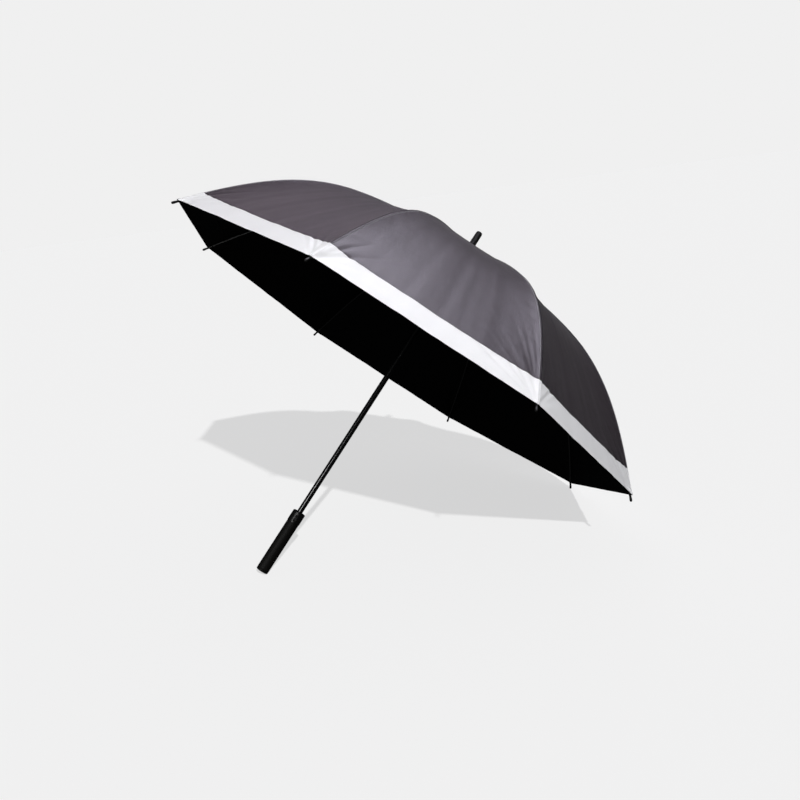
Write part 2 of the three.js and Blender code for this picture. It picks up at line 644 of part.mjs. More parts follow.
// The keyhole plate that the runner's hook snaps under. It slides with the button.
function latchPlate() {
  const sideAngle = Math.asin(PLATE_HALF_WIDTH / PLATE_FRONT_RADIUS);
  const backAngle = Math.asin(PLATE_HALF_WIDTH / PLATE_BACK_RADIUS);
  const shape = new THREE.Shape();
  shape.absarc(0, 0, PLATE_FRONT_RADIUS, -sideAngle, sideAngle, false);
  shape.absarc(0, 0, PLATE_BACK_RADIUS, Math.PI - backAngle, Math.PI + backAngle, false);
  const hole = new THREE.Path();
  const holeAngle = Math.asin(KEYHOLE_HALF_WIDTH / KEYHOLE_RADIUS);
  const shoulder = KEYHOLE_FRONT - 2.7;
  const frontHalf = 5;
  hole.moveTo(KEYHOLE_FRONT, -frontHalf);
  hole.lineTo(KEYHOLE_FRONT, frontHalf);
  hole.lineTo(shoulder, KEYHOLE_HALF_WIDTH);
  hole.absarc(0, 0, KEYHOLE_RADIUS, Math.PI - holeAngle, Math.PI + holeAngle, false);
  hole.lineTo(shoulder, -KEYHOLE_HALF_WIDTH);
  const pegHole = new THREE.Path();
  pegHole.absarc(PEG_AT_RADIUS, 0, PEG_RADIUS + 0.25, 0, 2 * Math.PI, false);
  shape.holes.push(hole, pegHole);
  const settings = { depth: PLATE_THICKNESS, bevelEnabled: false, curveSegments: 8 };
  return new THREE.ExtrudeGeometry(shape, settings).translate(0, 0, PLATE_BOTTOM_Z);
}

// The bent wire under the plate that pushes the button back out.
function buttonSpring() {
  const [sides, steps] = [6, 16];
  const wire = new THREE.TorusGeometry(BUTTON_BACK_RADIUS, SPRING_WIRE_RADIUS, sides, steps, 1.2 * Math.PI);
  const bent = solid(capped(wire, sides, steps + 1));
  return geometryOf(bent).rotateZ(Math.PI * 0.4).translate(0, 0, COLLAR_BOTTOM_Z + 1);
}

// close the two open ends of a part torus
function capped(torus, sides, stations) {
  const index = Array.from(torus.index.array);
  const at = (side, station) => side * stations + station;
  for (let side = 1; side < sides - 1; side += 1) {
    index.push(at(0, 0), at(side, 0), at(side + 1, 0));
    index.push(at(0, stations - 1), at(side + 1, stations - 1), at(side, stations - 1));
  }
  torus.setIndex(index);
  return torus;
}

// ---- assembly ----

const innerRibGeometry = innerRib();
const outerRibGeometry = outerRib();
const stretcherGeometry = stretcher();
const ribTipGeometry = ribTip();
const goreGeometry = gore();

for (let i = 0; i < RIBS; i += 1) {
  const onRib = turned(i * RIB_STEP);
  place(`rib_inner_${i + 1}`, innerRibGeometry, 'rib_steel', onRib);
  place(`rib_outer_${i + 1}`, outerRibGeometry, 'rib_rod', onRib);
  place(`rib_tip_${i + 1}`, ribTipGeometry, 'tip', onRib);
  place(`stretcher_${i + 1}`, stretcherGeometry, 'rib_steel', onRib);
  place(`canopy_gore_${i + 1}`, goreGeometry, 'canopy', turned((i + 0.5) * RIB_STEP));
}

place('tie_strap', tieStrap(), 'strap', turned(BUTTON_AZIMUTH));

place('shaft_tube', shaftTube(), 'shaft');
place('crown', crown(), 'moulding');
place('crown_wire', wireRing(crownPivot), 'wire');
place('top_washer', topWasher(), 'moulding');
place('ferrule', ferrule(), 'moulding');
place('opening_spring', openingSpring(), 'wire');
place('spring_seat', springSeat(), 'moulding');
place('top_catch', topCatch(), 'wire', turned(BUTTON_AZIMUTH));

place('runner', runner(), 'moulding');
place('runner_wire', wireRing(runnerPivot), 'wire');
place('runner_key', runnerKey(), 'wire');

place('handle_core', handleCore(), 'moulding');
place('handle_grip', handleGrip(), 'grip');
place('handle_end_cap', handleEndCap(), 'moulding');
place('handle_collar', handleCollar(), 'gloss');
const atButton = turned(BUTTON_AZIMUTH);
place('push_button', pushButton(), 'gloss', atButton);
place('latch_plate', latchPlate(), 'wire', atButton);
place('button_spring', buttonSpring(), 'wire', atButton);

export default root;
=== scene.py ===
"""A large push-button umbrella, open and resting on its handle and a rib tip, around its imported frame.

Metres throughout. The canopy's eight gores, hem bands and seams are thin closed sheets of cloth, laid out by
two cloth coordinates: the arc along a rib from the apex, and the share of the way across from rib to rib.
"""
import json
import math

import bpy
import numpy as np
from mathutils import Matrix, Vector

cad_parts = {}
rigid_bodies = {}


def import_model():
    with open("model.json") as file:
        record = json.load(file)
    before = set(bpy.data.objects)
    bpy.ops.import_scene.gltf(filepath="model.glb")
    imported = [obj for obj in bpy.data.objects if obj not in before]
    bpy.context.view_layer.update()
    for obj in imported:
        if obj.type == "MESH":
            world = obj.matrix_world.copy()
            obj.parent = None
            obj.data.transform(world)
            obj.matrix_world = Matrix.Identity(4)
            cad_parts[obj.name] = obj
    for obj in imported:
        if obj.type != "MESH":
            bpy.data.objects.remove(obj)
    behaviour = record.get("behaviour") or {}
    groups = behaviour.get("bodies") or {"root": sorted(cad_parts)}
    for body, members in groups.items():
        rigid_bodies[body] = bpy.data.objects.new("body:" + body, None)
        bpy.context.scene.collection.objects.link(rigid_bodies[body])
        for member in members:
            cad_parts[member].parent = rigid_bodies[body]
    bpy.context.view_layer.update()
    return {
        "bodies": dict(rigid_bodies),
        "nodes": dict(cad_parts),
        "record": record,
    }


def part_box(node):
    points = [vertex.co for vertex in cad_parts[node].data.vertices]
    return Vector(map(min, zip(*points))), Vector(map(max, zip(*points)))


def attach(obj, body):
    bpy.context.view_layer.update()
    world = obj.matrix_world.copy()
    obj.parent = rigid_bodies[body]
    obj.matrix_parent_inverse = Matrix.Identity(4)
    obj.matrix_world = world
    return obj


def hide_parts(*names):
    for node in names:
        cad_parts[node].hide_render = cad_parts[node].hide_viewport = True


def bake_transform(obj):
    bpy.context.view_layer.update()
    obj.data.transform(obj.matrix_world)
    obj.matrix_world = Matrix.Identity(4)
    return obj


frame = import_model()
nodes = frame["nodes"]

MM = 0.001
RIBS = 8
RIB_STEP = 2 * math.pi / RIBS  # angle from one rib to the next

# cloth
CLOTH = 0.7 * MM  # thickness
BAND_WIDTH = 60 * MM
HEM_FOLD = 9 * MM
LAP = 6 * MM  # how far the band laps over the dark panel
JOINT_SPAN = 60 * MM  # of cloth that bends over a rib's joint
SEAM_HALF = 4.4 * MM  # half the width of the strip over a rib

# grid lines of a sheet of cloth
GORE_COLUMNS = 110
GORE_ROWS = 104
BAND_ROWS = 13


# ---- numbers ----

def smoothstep(low, high, x):
    t = np.clip((x - low) / (high - low), 0, 1)
    return t * t * (3 - 2 * t)


def bump_at(x, centre, half_width):
    """1 at centre, falling smoothly to 0 at half_width either side."""
    return 1 - smoothstep(0, half_width, np.abs(x - centre))


def through(knots, values, at):
    """A smooth curve through the knots, by cubic Hermite pieces."""
    slopes = np.gradient(values, knots, axis=0)
    i = np.clip(np.searchsorted(knots, at) - 1, 0, len(knots) - 2)
    h = (knots[i + 1] - knots[i])[..., None]
    t = (at[..., None] - knots[i][..., None]) / h
    a, b = values[i], values[i + 1]
    return (
        a * (1 + 2 * t) * (1 - t) ** 2
        + b * t * t * (3 - 2 * t)
        + h * slopes[i] * t * (1 - t) ** 2
        - h * slopes[i + 1] * t * t * (1 - t)
    )


def points_of(node):
    return np.array([v.co for v in nodes[node].data.vertices])


# ---- the canopy's section, read from the first gore's edge over the first rib ----

def rib_section():
    """(arc from the apex, radius and height) of the outer face over a rib."""
    heights = {}
    for x, y, z in points_of("canopy_gore_1"):
        if abs(y) < 1 * MM:
            key = round(float(x), 5)
            heights[key] = max(float(z), heights.get(key, -1))
    section = np.array(sorted(heights.items()))
    steps = np.hypot(*np.diff(section, axis=0).T)
    return section[0, 0] + np.concatenate([[0], np.cumsum(steps)]), section


SECTION_ARC, SECTION = rib_section()
FIRST_ARC = SECTION_ARC[0]
HEM_ARC = SECTION_ARC[-1]
BAND_ARC = HEM_ARC - BAND_WIDTH
JOINT_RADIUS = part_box("rib_outer_1")[0].x
JOINT_ARC = float(np.interp(JOINT_RADIUS, SECTION[:, 0], SECTION_ARC))


def section_at(arc):
    return through(SECTION_ARC, SECTION, np.asarray(arc, float))


def section_slope(arc):
    """d radius / d arc and d height / d arc."""
    step = 1 * MM
    rise = section_at(arc + step) - section_at(arc - step)
    return rise / np.linalg.norm(rise, axis=-1, keepdims=True)


# ---- the shape of the cloth ----

FULL_TURN = 2 * math.pi

# the dip of the middle of a gore under the straight line between its ribs
GORE_DIP = 16 * MM
DIP_FLATNESS = 3.6  # the higher, the flatter across the middle and the steeper at the ribs
DIP_LOWERED = 1.5  # the higher, the nearer to the hem the dip is deepest
DIP_TAPER = 1.1
DIP_EASED = 0.4  # the share of the dip that is missing above the ribs' joints, where the cloth is tautest
EASED_SPAN = 200 * MM  # of cloth below the joints over which the dip becomes whole

# folds and creases at a rib's tip
FANS = ((5, 1.8, 85), (8, 1.3, 60), (13, 0.9, 40))  # folds in a full turn, height and length in mm
FAN_LEVEL = 0.64  # the mean of a fan's wave, so that it neither lifts nor sinks the cloth
TIP_FLAT = 14 * MM  # from the tip, within which folds fade out
CREASES = 9
CREASE_TOWARDS = (0.03, 1.25)  # angle from the rib, in radians
CREASE_LENGTH = (60, 140)  # mm
CREASE_DEPTH = (1.3, 2.6)  # mm
CREASE_HALF_WIDTH = 4.2 * MM
CREASE_CLEARANCE = 9 * MM  # from the seam, within which creases fade out

# ripples along a seam
PUCKERS = ((23, 0.30), (37, 0.34), (61, 0.30))  # pitch and height in mm
PUCKER_SLANT = 0.8
PUCKER_REACH = 26 * MM  # from the seam
PUCKER_LEAST = 0.45  # near the crown, against 1 near the hem
PUCKER_GROWTH = (0.25, 0.7)  # arcs between which the ripples grow

# waves from crown to hem, and pleats at the crown
WAVES = ((3, 0.5), (7, 0.45), (13, 0.3), (23, 0.18))  # half waves across a gore, and height in mm
WAVE_DRIFT = 3  # radians for each metre along the gore, at most
WAVE_START = (0.1, 0.5)  # arcs between which the waves grow
PLEATS = 9  # half waves across a gore
PLEAT_HEIGHT = 0.8 * MM
PLEAT_REACH = 45 * MM

# from a seam, within which the cloth is held down
HELD_WIDTH = 5 * MM
SEWN_WIDTH = 4 * MM


def width_at(arc):
    """The straight distance between two ribs."""
    return 2 * math.sin(RIB_STEP / 2) * section_at(arc)[..., 0]


def away_from(distance, reach):
    """0 at no distance, and nearly 1 beyond a few times reach."""
    return 1 - np.exp(-distance / reach)


def fan_folds(along, across, rng):
    """
    Folds that spread from a rib's tip, where the hem's corner is sewn on. Here and in the next function the
    two distances are from the tip, along the rib and across the gore.
    """
    reach = np.hypot(along, across)
    angle = np.arctan2(across, along)
    folds = 0
    for count, height, length in FANS:
        phase = rng.uniform(0, FULL_TURN)
        lean = rng.uniform(0.8, 1.2)
        fold = FAN_LEVEL - np.abs(np.sin(count * lean * angle / 2 + phase))
        folds += height * MM * fold * np.exp(-reach / (length * MM))
    return folds * away_from(reach, TIP_FLAT)


def corner_creases(along, across, rng):
    """Narrow creases that run out from a rib's tip, where the cloth is pulled tight."""
    reach = np.hypot(along, across)
    angle = np.arctan2(across, along)
    creases = 0
    for _ in range(CREASES):
        towards = rng.uniform(*CREASE_TOWARDS)
        length = rng.uniform(*CREASE_LENGTH) * MM
        depth = rng.uniform(*CREASE_DEPTH) * MM
        off = reach * np.abs(np.sin(angle - towards))
        creases -= depth * np.exp(-(off / CREASE_HALF_WIDTH) ** 2 - (reach / length) ** 2)
    clear_of_seam = 1 - np.exp(-(across / CREASE_CLEARANCE) ** 2)
    return creases * clear_of_seam * away_from(reach, TIP_FLAT)


def seam_puckers(arc, across, rng):
    """Short slanting ripples along a sewn seam."""
    ripples = 0
    for pitch, height in PUCKERS:
        phase = rng.uniform(0, FULL_TURN)
        ripples += height * MM * np.sin(FULL_TURN * (arc + PUCKER_SLANT * across) / (pitch * MM) + phase)
    strength = PUCKER_LEAST + (1 - PUCKER_LEAST) * smoothstep(*PUCKER_GROWTH, arc)
    return ripples * strength * np.exp(-across / PUCKER_REACH)


def soft_waves(arc, share, rng):
    """Long low waves that run from crown to hem, where the cloth is not quite taut."""
    waves = 0
    for count, height in WAVES:
        phase = rng.uniform(0, FULL_TURN)
        drift = rng.uniform(-WAVE_DRIFT, WAVE_DRIFT)
        waves += height * MM * np.sin(math.pi * count * share + phase + drift * arc)
    return waves * np.sin(math.pi * share) * smoothstep(*WAVE_START, arc)


def crown_gathers(arc, share, rng):
    """Small pleats where the cloth is gathered under the washer."""
    phase = rng.uniform(0, FULL_TURN)
    return PLEAT_HEIGHT * np.sin(PLEATS * math.pi * share + phase) * np.exp(-arc / PLEAT_REACH)


def dip(arc, share):
    """How far a taut gore lies under the chord from rib to rib."""
    along = np.clip((arc - FIRST_ARC) / (HEM_ARC - FIRST_ARC), 0, 1)
    across = 1 - np.abs(2 * share - 1) ** DIP_FLATNESS
    taut = 1 - DIP_EASED * (1 - smoothstep(JOINT_ARC, JOINT_ARC + EASED_SPAN, arc))
    return GORE_DIP * across * taut * np.sin(math.pi * along ** DIP_LOWERED) ** DIP_TAPER


def relief(gore, arc, share):
    """The height of gore number 0 to 7 over the ruled sheet between its two ribs."""
    rng = np.random.default_rng(100 + gore)
    width = width_at(arc)
    height = -dip(arc, share)
    height += soft_waves(arc, share, rng)
    height += crown_gathers(arc, share, rng)
    for across in (share * width, (1 - share) * width):
        held = away_from(across, HELD_WIDTH)
        height += held * seam_puckers(arc, across, rng)
        height += held * fan_folds(HEM_ARC - arc, across, rng)
        height += held * corner_creases(HEM_ARC - arc, across, rng)
    ends = 1 - np.exp(-share * width / SEWN_WIDTH) - np.exp(-(1 - share) * width / SEWN_WIDTH)
    return height * np.clip(ends, 0, 1)


def cloth_points(gore, arc, share, lift):
    """Points of a gore in the frame's coordinates, at a height of lift over its outer face."""
    place = section_at(arc)
    slope = section_slope(arc)
    start = gore * RIB_STEP
    end = start + RIB_STEP
    middle = (start + end) / 2
    x = place[..., 0] * ((1 - share) * math.cos(start) + share * math.cos(end))
    y = place[..., 0] * ((1 - share) * math.sin(start) + share * math.sin(end))
    out = -slope[..., 1]
    up = slope[..., 0] * math.cos(RIB_STEP / 2)
    size = np.hypot(out, up)
    rise = (lift + relief(gore, arc, share)) / size
    return np.stack([
        x + rise * out * math.cos(middle),
        y + rise * out * math.sin(middle),
        place[..., 1] + rise * up,
    ], axis=-1)


# ---- sheets of cloth ----

class Sheet:
    """
    The points of a closed sheet over a grid of cloth coordinates. The shares are the same in every row, or
    given row by row. The two functions give the lift of the outer and of the inner face at an arc.
    """

    def __init__(self, gore, arcs, shares, outer, inner):
        self.gore = gore
        if shares.ndim == 1:
            self.arc, self.share = np.meshgrid(arcs, shares, indexing="ij")
        else:
            self.arc = np.repeat(arcs[:, None], shares.shape[1], axis=1)
            self.share = shares
        self.outer = cloth_points(gore, self.arc, self.share, outer(self.arc))
        self.inner = cloth_points(gore, self.arc, self.share, inner(self.arc))


def grid_faces(rows, columns):
    """
    Faces of the two layers and of the four narrow edges between them. Outer faces come first. Both layers'
    faces start at the same corner, so that they are split along the same diagonal and never cross.
    """
    def at(layer, row, column):
        return (layer * rows + row) * columns + column

    outer, rest = [], []
    for r in range(rows - 1):
        for c in range(columns - 1):
            outer.append([at(0, r, c), at(0, r + 1, c), at(0, r + 1, c + 1), at(0, r, c + 1)])
            rest.append([at(1, r, c), at(1, r, c + 1), at(1, r + 1, c + 1), at(1, r + 1, c)])
    for r in range(rows - 1):
        rest.append([at(0, r, 0), at(1, r, 0), at(1, r + 1, 0), at(0, r + 1, 0)])
        last = columns - 1
        rest.append([at(0, r, last), at(0, r + 1, last), at(1, r + 1, last), at(1, r, last)])
    for c in range(columns - 1):
        rest.append([at(0, 0, c), at(0, 0, c + 1), at(1, 0, c + 1), at(1, 0, c)])
        last = rows - 1
        rest.append([at(0, last, c), at(1, last, c), at(1, last, c + 1), at(0, last, c + 1)])
    return outer, rest


def new_object(name, vertices, faces, materials, face_materials=None):
    """A smooth shaded mesh object in the scene."""
    mesh = bpy.data.meshes.new(name)
    mesh.from_pydata([tuple(v) for v in vertices], [], faces)
    for m in materials:
        mesh.materials.append(m)
    if face_materials is not None:
        mesh.polygons.foreach_set("material_index", np.asarray(face_materials, np.int32))
    mesh.polygons.foreach_set("use_smooth", np.ones(len(mesh.polygons), bool))
    mesh.update()
    obj = bpy.data.objects.new(name, mesh)
    bpy.context.scene.collection.objects.link(obj)
    return obj


def add_cloth_map(obj, across, arc):
    """A UV map in metres of cloth, so that the weave keeps its scale and folds with the canopy."""
    layer = obj.data.uv_layers.new(name="cloth")
    corner = np.zeros(len(obj.data.loops), np.int32)
    obj.data.loops.foreach_get("vertex_index", corner)
    layer.data.foreach_set("uv", np.stack([across, arc], axis=-1)[corner].astype(np.float32).ravel())


def rib_name(kind, index):
    return f"{kind}_{index % RIBS + 1}"


# the ribs that a point can follow, and how many steps round they are from the piece's own rib
SIDES = (("own", 0), ("next", 1), ("last", -1))
FOLLOWED = ("frame",) + tuple(f"{part}_{side}" for side, _ in SIDES for part in ("inner", "outer"))


def follow_group():
    """Moves each point with the frame and with the ribs on its sides, by its stored weights."""
    group = bpy.data.node_groups.new("follow_ribs", "GeometryNodeTree")
    face = group.interface
    face.new_socket("Geometry", in_out="INPUT", socket_type="NodeSocketGeometry")
    for part in FOLLOWED:
        face.new_socket(part, in_out="INPUT", socket_type="NodeSocketObject")
    face.new_socket("Geometry", in_out="OUTPUT", socket_type="NodeSocketGeometry")
    new, link = group.nodes.new, group.links.new
    source = new("NodeGroupInput")
    rest = new("GeometryNodeInputNamedAttribute")
    rest.data_type = "FLOAT_VECTOR"
    rest.inputs["Name"].default_value = "rest_place"
    total = None
    for part in FOLLOWED:
        info = new("GeometryNodeObjectInfo")
        info.transform_space = "RELATIVE"
        link(source.outputs[part], info.inputs["Object"])
        moved = new("FunctionNodeTransformPoint")
        link(rest.outputs["Attribute"], moved.inputs["Vector"])
        link(info.outputs["Transform"], moved.inputs["Transform"])
        weight = new("GeometryNodeInputNamedAttribute")
        weight.data_type = "FLOAT"
        weight.inputs["Name"].default_value = "follow_" + part
        share = new("ShaderNodeVectorMath")
        share.operation = "SCALE"
        link(moved.outputs["Vector"], share.inputs["Vector"])
        link(weight.outputs["Attribute"], share.inputs["Scale"])
        if total is None:
            total = share
        else:
            both = new("ShaderNodeVectorMath")
            link(total.outputs["Vector"], both.inputs[0])
            link(share.outputs["Vector"], both.inputs[1])
            total = both
    placed = new("GeometryNodeSetPosition")
    link(source.outputs["Geometry"], placed.inputs["Geometry"])
    link(total.outputs["Vector"], placed.inputs["Position"])
    sink = new("NodeGroupOutput")
    link(placed.outputs["Geometry"], sink.inputs["Geometry"])
    return group


FOLLOW = follow_group()
CROWN_SPAN = (15 * MM, 38 * MM)  # arcs between which the cloth leaves the crown for the ribs


def follow(obj, rib, arc, share):
    """
    Makes a piece of cloth fold with its ribs. The share runs from 0 on its own rib to 1 on the next one, or
    to -1 on the one before. The table says that the piece bends over its own rib's joint.
    """
    bend = (JOINT_ARC - JOINT_SPAN / 2, JOINT_ARC + JOINT_SPAN / 2)
    on_frame = 1 - smoothstep(*CROWN_SPAN, arc)
    on_outer = smoothstep(*bend, arc)
    ribs = 1 - on_frame
    weights = {"frame": on_frame}
    bodies = {"frame": "frame"}
    for side, step in SIDES:
        part = 1 - np.abs(share) if step == 0 else np.maximum(step * share, 0)
        weights[f"inner_{side}"] = ribs * (1 - on_outer) * part
        weights[f"outer_{side}"] = ribs * on_outer * part
        bodies[f"inner_{side}"] = rib_name("rib_inner", rib + step)
        bodies[f"outer_{side}"] = rib_name("rib_outer", rib + step)
    co = np.zeros(len(obj.data.vertices) * 3, np.float32)
    obj.data.vertices.foreach_get("co", co)
    rest = obj.data.attributes.new("rest_place", "FLOAT_VECTOR", "POINT")
    rest.data.foreach_set("vector", co)
    for part, weight in weights.items():
        stored = obj.data.attributes.new("follow_" + part, "FLOAT", "POINT")
        stored.data.foreach_set("value", weight.astype(np.float32))
    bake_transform(obj)
    modifier = obj.modifiers.new("follow_ribs", "NODES")
    modifier.node_group = FOLLOW
    for item in FOLLOW.interface.items_tree:
        if item.in_out == "INPUT" and item.name in bodies:
            modifier[item.identifier] = frame["bodies"][bodies[item.name]]


def cloth_piece(name, sheet, materials):
    """A mesh from a sheet. The first material is the outer face's and the second is the rest's."""
    rows, columns = sheet.arc.shape
    outer, rest = grid_faces(rows, columns)
    vertices = np.concatenate([sheet.outer.reshape(-1, 3), sheet.inner.reshape(-1, 3)])
    indices = [0] * len(outer) + [1] * len(rest)
    obj = new_object(name, vertices, outer + rest, materials, indices)
    arc = np.tile(sheet.arc.ravel(), 2)
    share = np.tile(sheet.share.ravel(), 2)
    add_cloth_map(obj, (share - 0.5) * width_at(arc), arc)
    follow(obj, sheet.gore, arc, share)
    return obj


EVENNESS = 0.45  # of the columns, where 1 is even and 0 gathers them most
CLOSE_STEP = 0.8 * MM  # between the close rows at a fold or stitch line
LEAST_STEP = 0.5 * MM


def gathered(count):
    """Shares from 0 to 1, closer together at both ends."""
    t = np.linspace(0, 1, count)
    return EVENNESS * t + (1 - EVENNESS) / 2 * (1 - np.cos(math.pi * t))


def rows_with(low, high, count, *close):
    """Rows from low to high, with close rows around each of the named arcs."""
    rows = list(np.linspace(low, high, count))
    for arc in close:
        rows += [arc + k * CLOSE_STEP for k in (-2, -1, 0, 1, 2)]
    rows = sorted(r for r in rows if low <= r <= high)
    kept = [rows[0]]
    for r in rows[1:-1]:
        if r - kept[-1] > LEAST_STEP and rows[-1] - r > LEAST_STEP:
            kept.append(r)
    return np.array(kept + [rows[-1]])


STITCH_TOP = BAND_ARC + 4 * MM
STITCH_HEM = HEM_ARC - HEM_FOLD
STITCH_DEPTH = 0.35 * MM
TOP_FOLD = 0.45 * MM  # height of the band's folded top edge
HEM_ROLL = 0.6 * MM  # height of the rolled hem


def panel_lift(arc):
    """The dark panel's outer face slips under the band."""
    return -(CLOTH + 0.2 * MM) * smoothstep(BAND_ARC - 3 * MM, BAND_ARC + 0.5 * MM, arc)


def band_lift(arc):
    """The band is folded under at its top and rolled at the hem, with a dent along each row of stitches."""
    fold = TOP_FOLD * (1 - smoothstep(BAND_ARC + 5 * MM, BAND_ARC + 7 * MM, arc))
    roll = HEM_ROLL * smoothstep(STITCH_HEM - 1 * MM, STITCH_HEM + 1.5 * MM, arc)
    dents = bump_at(arc, STITCH_TOP, 1.3 * MM) + bump_at(arc, STITCH_HEM, 1.5 * MM)
    return fold + roll - STITCH_DEPTH * dents


def make_gore(gore):
    """The dark panel of a gore, from the crown to just under the band."""
    shares = gathered(GORE_COLUMNS)
    arcs = rows_with(FIRST_ARC, BAND_ARC + LAP, GORE_ROWS, BAND_ARC - 1 * MM)
    sheet = Sheet(gore, arcs, shares, panel_lift, lambda arc: panel_lift(arc) - CLOTH)
    name = f"gore_{gore + 1}"
    obj = cloth_piece(name, sheet, [CANOPY, LINING])
    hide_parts(f"canopy_gore_{gore + 1}")


def make_band(gore):
    """The pale band of a gore, down to the hem."""
    shares = gathered(GORE_COLUMNS)
    close = (STITCH_TOP, STITCH_HEM, BAND_ARC + 1 * MM, HEM_ARC - 1 * MM)
    arcs = rows_with(BAND_ARC, HEM_ARC, BAND_ROWS, *close)
    sheet = Sheet(gore, arcs, shares, band_lift, lambda arc: 0 * arc - CLOTH)
    obj = cloth_piece(f"hem_band_{gore + 1}", sheet, [BAND, LINING])


# half of a seam's section: the share of its half width, and the height in mm
SEAM_HEIGHTS = ((1, -0.3), (0.92, 0.5), (0.72, 0.7), (0.55, 0.5), (0.42, -0.1), (0.15, -0.2))
SEAM_PROFILE = tuple((-a, h) for a, h in SEAM_HEIGHTS) + SEAM_HEIGHTS[::-1]
SEAM_HIGHLIGHT_SHARE = 0.75  # the share of the half width outside which the folded edges get a lighter colour, a painted highlight for the light they catch
SEAM_BOTTOM = -CLOTH * 0.3
SEAM_WIDEST = 0.2  # share of a gore, which keeps the seams apart at the crown
PAINTED_SHADE, WHITE, PAINTED_HIGHLIGHT = range(3)  # a seam's material slots: a darker colour as painted shade, white over the band, and lighter edges as a painted highlight


def seam_look(arc, across):
    """The material slot of a seam's face: white over the band, lighter along its edges as a painted
    highlight, and elsewhere a darker colour, painted shade of the seam's groove.
    """
    if arc >= BAND_ARC - 0.1 * MM:
        return WHITE
    return PAINTED_HIGHLIGHT if abs(across) > SEAM_HIGHLIGHT_SHARE else PAINTED_SHADE


def make_seam(rib):
    """The felled seam over a rib: a narrow strip, raised on each side of the middle."""
    arcs = rows_with(FIRST_ARC, HEM_ARC - 1.5 * MM, GORE_ROWS * 2, BAND_ARC)
    width = width_at(arcs)
    base = np.maximum(np.where(arcs > BAND_ARC, band_lift(arcs), panel_lift(arcs)), 0)
    top, bottom, followed = [], [], []
    for across, height in SEAM_PROFILE:
        share = np.minimum(abs(across) * SEAM_HALF / width, SEAM_WIDEST)
        followed.append(math.copysign(1, across) * share)
        gore, share = (rib, share) if across > 0 else (rib - 1, 1 - share)
        top.append(cloth_points(gore, arcs, share, base + height * MM))
        bottom.append(cloth_points(gore, arcs, share, np.full_like(arcs, SEAM_BOTTOM)))
    vertices = np.concatenate([np.stack(layer, axis=1).reshape(-1, 3) for layer in (top, bottom)])
    rows, columns = len(arcs), len(SEAM_PROFILE)
    faces, rest = grid_faces(rows, columns)
    middles = [(a[0] + b[0]) / 2 for a, b in zip(SEAM_PROFILE, SEAM_PROFILE[1:])]
    looks = [seam_look(arc, middle) for arc in arcs[:-1] for middle in middles]
    for face in rest:
        row = min(v % (rows * columns) // columns for v in face)
        looks.append(seam_look(arcs[row], 0))
    # the seam's slots: painted shade, white over the band, and painted highlight
    obj = new_object(f"seam_{rib + 1}", vertices, faces + rest, [SEAM_PAINTED_SHADE, SEAM_WHITE, SEAM_PAINTED_HIGHLIGHT], looks)
    arc = np.tile(np.repeat(arcs, columns), 2)
    add_cloth_map(obj, np.tile([a * SEAM_HALF for a, _ in SEAM_PROFILE], 2 * rows), arc)
    follow(obj, rib, arc, np.tile(np.stack(followed, axis=1).ravel(), 2))


# ---- materials ----

class Shader:
    """A material with a Principled surface, and short ways to add textures to it. Sizes are in metres."""

    def __init__(self, name, colour, roughness, metallic=0.0, specular=0.5):
        self.material = bpy.data.materials.new(name)
        self.material.use_nodes = True
        self.tree = self.material.node_tree
        self.surface = self.tree.nodes["Principled BSDF"]
        self.set("Base Color", (*colour, 1))
        self.set("Roughness", roughness)
        self.set("Metallic", metallic)
        self.set("Specular IOR Level", specular)
        self.relief = None

    def set(self, socket, value):
        self.surface.inputs[socket].default_value = value

    def node(self, kind, **settings):
        made = self.tree.nodes.new(kind)
        for key, value in settings.items():
            setattr(made, key, value)
        return made

    def link(self, source, target):
        self.tree.links.new(source, target)

    def on_object(self):
        return self.node("ShaderNodeTexCoord").outputs["Object"]

    def on_cloth(self, stretch=1.0):
        """The cloth map. Textures on it are longer along the gore by this factor."""
        mapping = self.node("ShaderNodeMapping")
        self.link(self.node("ShaderNodeUVMap", uv_map="cloth").outputs[0], mapping.inputs["Vector"])
        mapping.inputs["Scale"].default_value = (1, 1 / stretch, 1)
        return mapping.outputs[0]

    def noise(self, where, size, detail=3.0):
        """Noise with features about size metres across."""
        made = self.node("ShaderNodeTexNoise")
        self.link(where, made.inputs["Vector"])
        made.inputs["Scale"].default_value = 1 / size
        made.inputs["Detail"].default_value = detail
        return made.outputs["Fac"]

    def tint(self, fac, low, high):
        """Base colour from low to high along fac."""
        mix = self.node("ShaderNodeMix", data_type="RGBA")
        self.link(fac, mix.inputs["Factor"])
        mix.inputs["A"].default_value = (*low, 1)
        mix.inputs["B"].default_value = (*high, 1)
        self.link(mix.outputs["Result"], self.surface.inputs["Base Color"])

    def vary_roughness(self, fac, low, high):
        """Roughness from low to high along fac."""
        spread = self.node("ShaderNodeMapRange")
        self.link(fac, spread.inputs["Value"])
        spread.inputs["To Min"].default_value = low
        spread.inputs["To Max"].default_value = high
        self.link(spread.outputs[0], self.surface.inputs["Roughness"])

    def bump(self, height, depth, strength):
        """Relief of this depth where height runs from 0 to 1. Several calls add up."""
        made = self.node("ShaderNodeBump")
        made.inputs["Strength"].default_value = strength
        made.inputs["Distance"].default_value = depth
        self.link(height, made.inputs["Height"])
        if self.relief is not None:
            self.link(self.relief, made.inputs["Normal"])
        self.relief = made.outputs["Normal"]
        self.link(self.relief, self.surface.inputs["Normal"])


def scaled(colour, factor):
    return tuple(c * factor for c in colour)


THREAD = 0.6 * MM
THREAD_DEPTH = 0.05 * MM


def weave(shader):
    """Warp and weft threads on the cloth map."""
    for axis in ("X", "Y"):
        wave = shader.node("ShaderNodeTexWave", wave_type="BANDS", bands_direction=axis)
        shader.link(shader.on_cloth(), wave.inputs["Vector"])
        wave.inputs["Scale"].default_value = 1 / (2 * THREAD)
        shader.bump(wave.outputs["Fac"], THREAD_DEPTH, 0.6)


